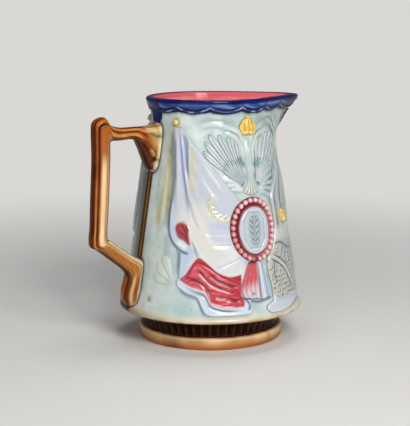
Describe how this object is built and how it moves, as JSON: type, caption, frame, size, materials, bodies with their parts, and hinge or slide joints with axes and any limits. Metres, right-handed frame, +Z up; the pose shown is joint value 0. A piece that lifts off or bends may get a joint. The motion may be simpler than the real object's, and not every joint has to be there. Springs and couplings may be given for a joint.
{
  "type": "jug",
  "caption": "Tapering glazed earthenware jug with a fluted foot, scalloped lip, pouring spout and bracket handle, moulded with drapery, wings and a beaded medallion.",
  "frame": {"origin": "on the table, under the middle of the jug's box: the jug's own axis lies 13 mm towards the spout", "axes": "+Z up along the jug's axis, +X towards the spout, -X towards the handle, Y across"},
  "size_m": [0.2093, 0.164, 0.2145],
  "materials": {
    "celadon_glaze": "glossy lead glaze",
    "ivory_glaze": "glossy lead glaze",
    "carmine_glaze": "glossy lead glaze",
    "cobalt_glaze": "glossy lead glaze",
    "treacle_glaze": "glossy lead glaze",
    "gold_glaze": "glossy lead glaze",
    "ash_glaze": "glossy lead glaze"
  },
  "bodies": {
    "root": {"body_wall": "celadon_glaze", "foot_ring": "treacle_glaze", "base_disc": "celadon_glaze", "rim_collar": "cobalt_glaze", "handle": "treacle_glaze", "spine_strip": "treacle_glaze", "spout_leaf": "treacle_glaze", "right_drape": "ivory_glaze", "right_drape_hem": "carmine_glaze", "right_finial": "gold_glaze", "right_wing_rear": "ash_glaze", "right_wing_fore": "ash_glaze", "right_plume": "ash_glaze", "right_gold_dome": "gold_glaze", "right_medallion": "ivory_glaze", "right_bead_frame": "carmine_glaze", "right_ribbon_rear": "carmine_glaze", "right_ribbon_fore": "ivory_glaze", "right_banner": "ash_glaze", "right_leaf_spray": "celadon_glaze", "right_gold_acorn": "gold_glaze", "left_drape": "ivory_glaze", "left_drape_hem": "carmine_glaze", "left_finial": "gold_glaze", "left_wing_rear": "ash_glaze", "left_wing_fore": "ash_glaze", "left_plume": "ash_glaze", "left_gold_dome": "gold_glaze", "left_medallion": "ivory_glaze", "left_bead_frame": "carmine_glaze", "left_ribbon_rear": "carmine_glaze", "left_ribbon_fore": "ivory_glaze", "left_banner": "ash_glaze", "left_leaf_spray": "celadon_glaze", "left_gold_acorn": "gold_glaze"}
  },
  "joints": []
}
